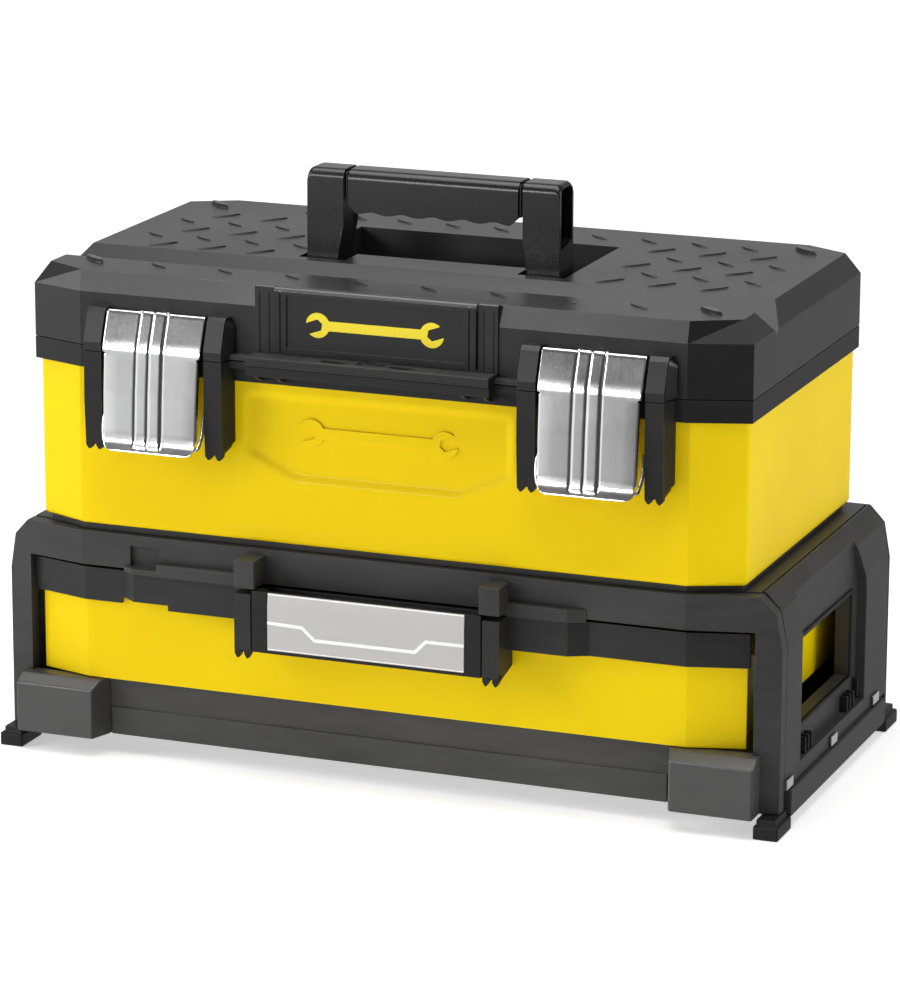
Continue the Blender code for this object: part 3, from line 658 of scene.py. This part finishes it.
def build_posts():
    """The handle's two posts, hollow to the outside and bored for their pins, and the bar in the grip."""
    low, high = HANDLE_LOW, HANDLE_HIGH
    middle = (high.y + low.y) / 2
    shoulder, corner, wall = 6.0, 4.0, 2.6
    rings = [(POST_INNER_TOP, 0.0)]
    for k in range(6):
        turn = math.pi / 2 * k / 5
        rings.append((high.x - corner + corner * math.sin(turn), corner * (1 - math.cos(turn))))
    post = bmesh.new()
    loops = []
    for x, drop in rings:
        loop = []
        for y, z in post_outline(low.y, high.y, high.z - drop, shoulder):
            share = max(0.0, min(1.0, (TAPER_HIGH - z) / (TAPER_HIGH - TAPER_LOW)))
            taper = (POST_INNER_FOOT - POST_INNER_TOP) * share if x == POST_INNER_TOP else 0.0
            loop.append(post.verts.new((x + taper, y, z)))
        loops.append(loop)
    for near, far in zip(loops, loops[1:]):
        bridge(near, far, post)
    post.faces.new(loops[0])
    post.faces.new(loops[-1])
    pocket = [(low.y + wall, 346.2), (high.y - wall, 350.2), (high.y - wall, high.z - 3),
              (low.y + wall, high.z - 3)]
    hollow = prism(filleted(pocket, [0.8, 0.8, 4.5, 4.5]), "x", 69.5, 100)
    bore = rod("x", (middle, PIVOT_Z), 3.35, 55, 100)
    post = carve(post, [hollow, bore])
    bar = block((-60, 60), (middle - 9, middle + 9), (high.z - 22, high.z - 4))
    posts = merged(post, mirror_x(post), bar)
    piece("handle_posts", posts, "handle", HANDLE_BLACK, ["handle_frame"], edge=0.7, segments=3, angle=40)


def build_grip():
    """The grip sleeve with its finger waves, and a seal between each end of it and the post."""
    low, high = HANDLE_LOW, HANDLE_HIGH
    half = GRIP_HIGH.x
    bottom = high.z - (high.y - low.y)
    waves, steps, swell = 5, 60, 1.7
    outline = [(-half, high.z), (half, high.z), (half, bottom + 2.5)]
    for i in range(steps + 1):
        x = (half - 6) * (1 - 2 * i / steps)
        outline.append((x, bottom + 0.2 + swell * (0.5 - 0.5 * math.cos(2 * math.pi * waves * i / steps))))
    outline.append((-half, bottom + 2.5))
    sleeve = prism(outline, "y", low.y + 0.4, high.y - 0.4)
    round_off(sleeve, lambda a, b: min(a.z, b.z) > high.z - 0.1 and abs(a.y - b.y) < 0.1 and
              abs(a.x - b.x) > 10, 6.5, 6)
    round_off(sleeve, lambda a, b: max(a.z, b.z) < bottom + 3.2 and abs(a.y - b.y) < 0.1 and
              abs(a.x - b.x) > 0.5, 3.2, 4)
    piece("grip_sleeve", sleeve, "handle", HANDLE_BLACK, ["handle_grip"], edge=0.5, segments=2, angle=50)
    seals = bmesh.new()
    for side in (-1, 1):
        middle = side * (half + 1.0)
        block((middle - 0.6, middle + 0.6), (low.y + 1.4, high.y - 1.4), (bottom + 3, high.z - 1.6), seals)
    piece("grip_end_seals", seals, "handle", HANDLE_BLACK, edge=0.3)


# ---- draw latches --------------------------------------------------------------------------------
LATCH_LINE = ((-132.2, 306.4), (-137.4, 308.0), (-144.6, 289.0), (-146.2, 284.0), (-149.0, 256.0),
              (-150.6, 230.0), (-151.6, 224.0), (-154.2, 218.2))      # side view of a plate, y and z
HOOK_ROWS = 6             # rows of the plate, from its top, that bend over the catch
LIP_PIVOT = (-148.8, 222.6)                       # the bail's crossbar, y and z
BAIL_PIVOT = (-141.0, 246.0)                      # the bail's ends in the rim's ears, y and z
RIB_GROOVES = (-10.6, -1.4, 7.8)                  # the pressed lines, across the plate
SHOULDER_HALF, WAIST_HALF, SHOULDER_Z = 34.3, 32.8, 280.6
LIP_CORNER = 6.0


def rib_height(x, run):
    """Height of the plate's pressed profile across its width; run fades it out towards the lip."""
    grooves = -0.75 * sum(math.exp(-((x - groove) / 0.8) ** 2) for groove in RIB_GROOVES)
    return (grooves + (0.7 if RIB_GROOVES[0] < x < RIB_GROOVES[2] else 0.0)) * run


def plate_half(z, bottom):
    """Half the plate's width at a height: shoulders, a small notch, a slight taper and round corners."""
    if z > SHOULDER_Z + 1.5:
        half = SHOULDER_HALF
    elif z > SHOULDER_Z - 0.4:
        half = WAIST_HALF - 0.9
    else:
        half = WAIST_HALF - 0.8 * (SHOULDER_Z - z) / (SHOULDER_Z - bottom)
    corner = LIP_CORNER - (z - bottom)
    if corner > 0:
        half -= LIP_CORNER - math.sqrt(max(0.0, LIP_CORNER ** 2 - corner ** 2))
    return half


def smooth_line(points, reach, step):
    """An open line with rounded bends and a point about every step."""
    bends = bent(points, reach, 4)
    line = [bends[0]]
    for a, b in zip(bends, bends[1:]):
        count = max(1, int((b - a).length / step))
        line += [a.lerp(b, k / count) for k in range(1, count + 1)]
    return line


def build_latch_plate(side, centre):
    """The pressed plate: hook, shoulders, three pressed lines, side flanges and a turned-out lip."""
    line = smooth_line(LATCH_LINE, 1.8, 1.0)
    bm = bmesh.new()
    rows = []
    bottom = line[-1].y
    across = [g + d for g in RIB_GROOVES for d in (-2.4, -1.7, -1.15, -0.6, 0.0, 0.6, 1.15, 1.7, 2.4)]
    for i, point in enumerate(line):
        along = (line[min(i + 1, len(line) - 1)] - line[max(i - 1, 0)]).normalized()
        out = Vector((along.y, -along.x))
        if out.x > 0:
            out = -out
        hook = i < HOOK_ROWS
        half = SHOULDER_HALF if hook else plate_half(point.y, bottom)
        run = 1.0 if hook else max(0.0, min(1.0, (point.y - 221.0) / 2.5))
        flange = 3.2 if 227.0 < point.y < SHOULDER_Z - 1.0 and not hook else 0.0
        xs = [-half, -0.97 * half, -0.7 * half, *across, 0.7 * half, 0.97 * half, half]
        cells = [(x, point + out * rib_height(x, run)) for x in xs]
        cells = [(-half, point - out * flange), *cells, (half, point - out * flange)]
        rows.append([bm.verts.new((centre + x, at.x, at.y)) for x, at in cells])
    for low, high in zip(rows, rows[1:]):
        for a, b, c, d in zip(low, low[1:], high[1:], high):
            patch = []
            for v in (a, b, c, d):
                if all((v.co - w.co).length > 0.02 for w in patch):
                    patch.append(v)
            if len(patch) > 2:
                bm.faces.new(patch)
    plate = piece("latch_plate_sheet_" + side, bm, "plate_" + side, ZINC, ["latch_plate_" + side])
    wall = plate.modifiers.new("sheet", "SOLIDIFY")
    wall.thickness = 1.0 * MM
    wall.offset = 0.0
    crisp = plate.modifiers.new("rounded_edges", "BEVEL")
    crisp.width = 0.22 * MM
    crisp.segments = 2
    crisp.limit_method = "ANGLE"
    crisp.angle_limit = math.radians(50)


def build_latch_curls(side, centre):
    """Two strips behind the plate's lip, curled round the bail's crossbar."""
    curls = bmesh.new()
    turns = [math.radians(20 + 320 * k / 14) for k in range(15)]
    for hand in (-1, 1):
        ring = []
        for radius, angles in ((3.3, turns), (2.1, turns[::-1])):
            ring += [(LIP_PIVOT[0] + radius * math.cos(angle), LIP_PIVOT[1] + radius * math.sin(angle))
                     for angle in angles]
        prism(ring, "x", *sorted((centre + hand * 14.0, centre + hand * 24.0)), bm=curls)
    piece("latch_curls_" + side, curls, "plate_" + side, ZINC, edge=0.2, angle=50)


def build_bail(side, centre):
    """Round wire from ear to ear: bowed arms, and a crossbar through the plate's curls."""
    upper, lower = BAIL_PIVOT, LIP_PIVOT
    arm, end = 33.0, 40.5
    route = [(-end, *upper), (-arm - 1.6, *upper)]
    for k in range(1, 8):
        t = k / 8
        bow = 1.6 * math.sin(math.pi * t) + (1 - t)
        route.append((-arm - bow, upper[0] + (lower[0] - upper[0]) * t, upper[1] + (lower[1] - upper[1]) * t))
    route.append((-arm, *lower))
    route += [(-x, y, z) for x, y, z in reversed(route)]
    bends = bent([(centre + x, y, z) for x, y, z in route], 2.2, 3)
    curve = bpy.data.curves.new("bail_wire_" + side, "CURVE")
    curve.dimensions = "3D"
    curve.bevel_depth = 1.3 * MM
    curve.bevel_resolution = 4
    curve.use_fill_caps = True
    spline = curve.splines.new("POLY")
    spline.points.add(len(bends) - 1)
    for knot, point in zip(spline.points, bends):
        knot.co = (*(point * MM + MIDDLE), 1.0)
    curve.materials.append(ZINC.material)
    wire = bpy.data.objects.new("bail_wire_" + side, curve)
    bpy.context.scene.collection.objects.link(wire)
    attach(wire, "bail_" + side)
    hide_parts("latch_bail_" + side)


# ---- drawer handle -------------------------------------------------------------------------------
def ribbon(line, half_width):
    """Outline of a band of even width along an open line."""
    upper, lower = [], []
    for i, here in enumerate(line):
        here = Vector(here)
        before = (here - Vector(line[i - 1])).normalized() if i else None
        after = (Vector(line[i + 1]) - here).normalized() if i + 1 < len(line) else None
        along = ((before or after) + (after or before)).normalized()
        across = Vector((-along.y, along.x)) * half_width / max(0.5, along.dot(after or before))
        upper.append(tuple(here + across))
        lower.append(tuple(here - across))
    return upper + lower[::-1]


def build_drawer_handle():
    """The silver face of the drawer handle, with its sloped top, a white border along its bottom and top
    edges that is a painted highlight, and a printed line.
    """
    low, high = INSERT_LOW, INSERT_HIGH
    profile = [(high.y, low.z), (low.y + 0.3, low.z), (low.y, low.z + 0.9), (low.y + 0.15, high.z - 8.5),
               (low.y + 1.1, high.z - 0.4), (high.y, high.z)]
    face = prism(profile, "x", low.x, high.x)
    piece("handle_face", face, "flap", SILVER, ["handle_insert"], edge=0.25)
    front = low.y - 0.12
    line = [(-68.0, 112.6), (-43.8, 111.8), (-34.9, 104.1), (34.5, 104.1), (42.0, 111.8), (68.0, 111.9)]
    line_and_highlights = prism(ribbon(line, 1.1), "y", front, low.y + 0.4)
    # Two thin white strips along the bottom and top edges of the face: a painted highlight, in the same white
    # as the printed line.
    block((low.x + 0.2, high.x - 0.2), (front + 0.1, low.y + 0.5), (low.z + 0.6, low.z + 1.3), line_and_highlights)
    block((low.x + 0.2, high.x - 0.2), (low.y + 0.75, low.y + 1.7), (high.z - 1.3, high.z - 0.5), line_and_highlights)
    piece("handle_face_line_and_highlights", line_and_highlights, "flap", WHITE_INK_AND_HIGHLIGHT, edge=0.08)
    dress("drawer_handle", BLACK, 0.9)


# ---- mouldings on the ears and the frame ---------------------------------------------------------
LATCH_EAR = (36.25, 48.45)      # inner and outer side of a latch ear, from the latch's middle
HANDLE_EAR = (80.2, 91.6)       # the same of a drawer handle's ear, from the middle of the box


def ear_prongs(bm, x, y, z, size):
    """Two rounded prongs under an ear with a notch between them; x and y are its ranges."""
    low, high = x
    notch = 0.09 * (high - low)
    middle = (low + high) / 2
    for a, b in ((low, middle - notch), (middle + notch, high)):
        outline = filleted([(a, z + 2.5), (b, z + 2.5), (b, z - size * 0.35), ((a + b) / 2, z - size),
                            (a, z - size * 0.35)], [0, 0, 1.0, 1.6, 1.0])
        prism(outline, "y", *y, bm=bm)


def build_prongs():
    """The split ends of the latch ears and of the drawer handle's ears."""
    bm = bmesh.new()
    for centre in LATCHES.values():
        for side in (-1, 1):
            x = sorted(centre + side * edge for edge in LATCH_EAR)
            ear_prongs(bm, x, (-144.3, -139.9), 220.0, 5.4)
    piece("latch_ear_prongs", bm, "base", BLACK, edge=0.3)
    bm = bmesh.new()
    for side in (-1, 1):
        ear_prongs(bm, sorted(side * edge for edge in HANDLE_EAR), (-148.9, -144.8), 92.0, 6.4)
    piece("handle_ear_prongs", bm, "drawer", BLACK, edge=0.3)


def build_ledge_details():
    """Clips under the padlock ledge, and the slotted cover on top of it with its arms to the ears."""
    bm = bmesh.new()
    for side in (-1, 1):
        for x in (62.0, 77.0):
            web = [(-145.5, 275.2), (-131.0, 275.2), (-131.0, 268.5), (-138.0, 270.5)]
            prism(web, "x", *sorted((side * x, side * (x + 2.2))), bm=bm)
    piece("ledge_clips", bm, "base", BLACK, edge=0.3)
    cover = block((-82.4, 82.4), (-147.9, -133.4), (285.6, 287.1))
    round_off(cover, lambda a, b: a.z > 287 and b.z > 287 and abs(a.y - b.y) < 0.1 and a.y < -147, 1.2, 3)
    cuts = [block((-9.4, 9.4), (-142.5, -130.0), (286.3, 290.0))]
    for side in (-1, 1):
        oval = [(side * 23.2 + 10.9 * math.cos(a), -140.9 + 3.6 * math.sin(a))
                for a in [2 * math.pi * k / 28 for k in range(28)]]
        cuts.append(prism(oval, "z", 280.0, 295.0))
        cuts.append(block(sorted((side * 47.5, side * 48.1)), (-150.0, -130.0), (286.7, 290.0)))
    cover = carve(cover, cuts)
    for side in (-1, 1):
        prism([(side * 1.0, -142.4), (side * 8.6, -134.0), (side * 7.2, -133.6), (side * -0.4, -142.0)], "z",
              286.2, 287.0, cover)
        block(sorted((side * 82.0, side * 101.4)), (-136.3, -129.6), (281.4, 284.6), cover)
    piece("ledge_cover", cover, "lid", FRAME_BLACK, edge=0.25)


def build_brow():
    """Rounded brow along the top of the nameplate and its pillars, in a paler grey that is a painted
    highlight, and fine lines down the pillars.
    """
    brow = bmesh.new()
    pillar, plate = -131.0, NAMEPLATE_LOW.y + 0.3       # how far forward their faces stand
    for low, high, front in ((-82.8, -69.8, pillar), (-69.2, 69.2, plate), (69.8, 82.8, pillar)):
        rod("x", (front + 2.3, LID_HIGH.z - 2.2), 2.5, low, high, 20, brow)
    # The brow takes the paler grey of the corner blocks: a painted highlight along the top of the nameplate
    # and its pillars.
    piece("nameplate_brow_painted_highlight", brow, "lid", BLOCK_GREY, edge=0.3)
    lines = bmesh.new()
    for side in (-1, 1):
        for x in (73.0, 79.6):
            block(sorted((side * x, side * (x + 0.7))), (-131.7, -131.0), (287.2, LID_HIGH.z - 4.0), lines)
    piece("pillar_lines", lines, "lid", BLACK, edge=0.15)


def tapered(near_x, near, far_x, far, bm):
    """Join two outlines in y and z that stand at near_x and far_x."""
    start = [bm.verts.new((near_x, y, z)) for y, z in near]
    end = [bm.verts.new((far_x, y, z)) for y, z in far]
    bm.faces.new(start)
    bm.faces.new(end)
    bridge(start, end, bm)


def build_ear_flanks():
    """Sloped outer cheeks beside the latch ears, on the lid and below it on the rim."""
    upper, lower = bmesh.new(), bmesh.new()
    near_lid = [(-129.0, 281.5), (-143.8, 281.5), (-144.2, 287.0), (-138.0, 304.0), (-135.6, 306.6),
                (-129.0, 306.6)]
    far_lid = [(-129.0, 281.5), (-131.8, 281.5), (-131.8, 287.0), (-131.2, 301.0), (-130.8, 302.6),
               (-129.0, 302.6)]
    near_rim = [(-128.0, 223.0), (-143.4, 221.0), (-144.4, 250.0), (-143.8, 280.4), (-128.0, 280.4)]
    far_rim = [(-128.0, 226.0), (-130.6, 226.0), (-131.0, 250.0), (-131.4, 280.4), (-128.0, 280.4)]
    for centre in LATCHES.values():
        for side in (-1, 1):
            near, far = centre + side * 48.1, centre + side * 52.6
            tapered(near, near_lid, far, far_lid, upper)
            tapered(near, near_rim, near + side * 2.8, far_rim, lower)
    piece("lid_ear_cheeks", upper, "lid", LID_GREY, edge=0.6, angle=12)
    piece("rim_ear_cheeks", lower, "base", BLACK, edge=0.4, angle=12)


WALL_X = 262.0        # the recessed face of the side frame
WINDOW_HALF, WINDOW_LOW, WINDOW_HIGH = 57.0, 56.0, 113.0


def build_side_details():
    """The window's lip, and the ribs above the rail."""
    lip, ribs = bmesh.new(), bmesh.new()
    edge = 2.6
    for y, z in (((-WINDOW_HALF - edge, WINDOW_HALF + edge), (WINDOW_HIGH, WINDOW_HIGH + edge)),
                 ((-WINDOW_HALF - edge, WINDOW_HALF + edge), (WINDOW_LOW - edge, WINDOW_LOW)),
                 ((WINDOW_HALF, WINDOW_HALF + edge), (WINDOW_LOW, WINDOW_HIGH)),
                 ((-WINDOW_HALF - edge, -WINDOW_HALF), (WINDOW_LOW, WINDOW_HIGH))):
        block((WALL_X - 0.4, WALL_X + 1.7), y, z, lip)
    for start in (-56.0, 39.0):
        for k in range(3):
            y = start + 7.0 * k
            block((WALL_X - 0.4, WALL_X + 5.4), (y, y + 2.2), (36.4, 47.0), ribs)
    for y in (-64.0, 68.0):
        block((WALL_X - 0.4, WALL_X + 4.0), (y - 1.2, y + 1.2), (40.0, 52.0), ribs)
    for name, shape, edge in (("window_lip", lip, 0.5), ("rail_ribs", ribs, 0.4)):
        left = mirror_x(shape)
        piece(name + "_right", shape, "base", BLACK, edge=edge)
        piece(name + "_left", left, "base", BLACK, edge=edge)


def build_back_details():
    """Stiffening ribs on the plain back panel."""
    ribs = bmesh.new()
    back = corners("back_panel")[1].y
    for k in range(-4, 5):
        x = 52.0 * k
        block((x - 1.5, x + 1.5), (back - 0.3, back + 2.4), (26.0, 140.0), ribs)
    for z in (26.0, 83.0, 140.0):
        block((-209.5, 209.5), (back - 0.3, back + 2.4), (z - 1.5, z + 1.5), ribs)
    piece("back_ribs", ribs, "base", BLACK, edge=0.5)


dress_frame()
build_tub()
build_emblems()
build_treads()
build_nameplate()
build_posts()
build_grip()
for latch_side, latch_x in LATCHES.items():
    build_latch_plate(latch_side, latch_x)
    build_latch_curls(latch_side, latch_x)
    build_bail(latch_side, latch_x)
build_drawer_handle()
build_prongs()
build_ledge_details()
build_brow()
build_ear_flanks()
build_side_details()
build_back_details()


# ---- studio --------------------------------------------------------------------------------------
AZIMUTH, ELEVATION, ROLL = math.radians(21.2), math.radians(14.7), math.radians(0.2)
TARGET = Vector((0.0003, MIDDLE.y, 0.1649))
DISTANCE, LENS = 3.0417, 164.15


def build_camera():
    """A long lens from the right of the front, a little above the lid."""
    outward = Vector((math.cos(ELEVATION) * math.sin(AZIMUTH), -math.cos(ELEVATION) * math.cos(AZIMUTH),
                      math.sin(ELEVATION)))
    data = bpy.data.cameras.new("camera")
    data.lens = LENS
    data.clip_end = 50.0
    camera = bpy.data.objects.new("camera", data)
    place = Matrix.Translation(TARGET + outward * DISTANCE)
    facing = (-outward).to_track_quat("-Z", "Y").to_matrix().to_4x4()
    camera.matrix_world = place @ facing @ Matrix.Rotation(ROLL, 4, "Z")
    bpy.context.scene.collection.objects.link(camera)
    bpy.context.scene.camera = camera


LAMPS = {              # place, width and height, power, and whether it lights matt surfaces too
    "overhead": ((-0.1, -0.2, 1.7), (1.6, 1.0), 18.5, True),
    "key": ((-1.45, -1.0, 0.8), (0.7, 0.9), 13.5, True),
    "right_side": ((1.9, 0.2, 0.9), (0.8, 0.8), 12.0, True),
    "edge_glow": ((-0.77, -2.02, 0.72), (0.5, 0.25), 12.5, False),
}
LAMP_AIM = Vector((0.0, 0.0, 0.18))


def softbox(name, place, size, power, matt_too):
    """A rectangular lamp that faces the box; without matt_too it only draws highlights."""
    data = bpy.data.lights.new(name, "AREA")
    data.shape = "RECTANGLE"
    data.size, data.size_y = size
    data.energy = power
    light = bpy.data.objects.new(name, data)
    place = Vector(place)
    facing = (LAMP_AIM - place).to_track_quat("-Z", "Y").to_matrix().to_4x4()
    light.matrix_world = Matrix.Translation(place) @ facing
    light.visible_diffuse = matt_too
    bpy.context.scene.collection.objects.link(light)


AMBIENT = 0.057        # brightness of the air between the patches
SKY = (                # direction, sharpness, brightness of each soft patch of light round the box
    ((-0.95, -0.2, -0.25), 8.0, 3.6),
    ((-0.6, -0.77, -0.22), 20.0, 0.9),
    ((0.35, 0.9, -0.25), 6.0, 0.42),
    ((-0.35, 0.9, 0.26), 10.0, 0.7),
    ((-0.2, -0.5, -0.84), 5.0, 0.6),
    ((0.0, -0.1, 1.0), 12.0, 1.6),
)


def paint_sky(patches):
    """Soft patches of light in the air round the studio; their sum stops at white."""
    world = bpy.data.worlds.new("studio_air")
    world.use_nodes = True
    air = Nodes(world.node_tree)
    where = air.node("TexCoord", output="Generated")
    light = AMBIENT
    for direction, sharpness, brightness in patches:
        towards = Vector(direction).normalized()
        sockets = {0: where, 1: tuple(towards)}
        facing = air.node("VectorMath", {"operation": "DOT_PRODUCT"}, sockets, output="Value")
        light = light + brightness * facing.clamped() ** sharpness
    background = air.tree.nodes["Background"]
    air.feed(background.inputs["Color"], air.blend(light, grey(0.0), grey(1.0)))
    bpy.context.scene.world = world


PAPER_NEAR, PAPER_FAR = 0.46, 1.06     # glow of the paper beside the box and far from it


def build_studio():
    """Lamps, sky and the white paper under the box."""
    for name, settings in LAMPS.items():
        softbox(name, *settings)
    paint_sky(SKY)
    floor_mesh = bpy.data.meshes.new("floor")
    bm = bmesh.new()
    bmesh.ops.create_grid(bm, x_segments=8, y_segments=8, size=14.0)
    bm.to_mesh(floor_mesh)
    bm.free()
    floor = bpy.data.objects.new("floor", floor_mesh)
    paper = Finish("studio_paper", None, Specular_IOR_Level=0.0, Emission_Strength=1.0)
    away = paper.node("VectorMath", {"operation": "LENGTH"}, {0: paper.place()}, output="Value")
    glow = paper.blend(away.above(0.8, 3.0), grey(PAPER_NEAR), grey(PAPER_FAR))
    paper.feed(paper.shader.inputs["Emission Color"], glow)
    tone = paper.blend(paper.noise(3.0, 2.0), grey(0.88), grey(0.9))
    paper.surface(tone, 0.9, paper.noise(300.0), 0.02, 0.0002)
    floor_mesh.materials.append(paper.material)
    floor.visible_glossy = False
    bpy.context.scene.collection.objects.link(floor)
    bpy.context.scene.view_settings.view_transform = "Standard"


build_camera()
build_studio()
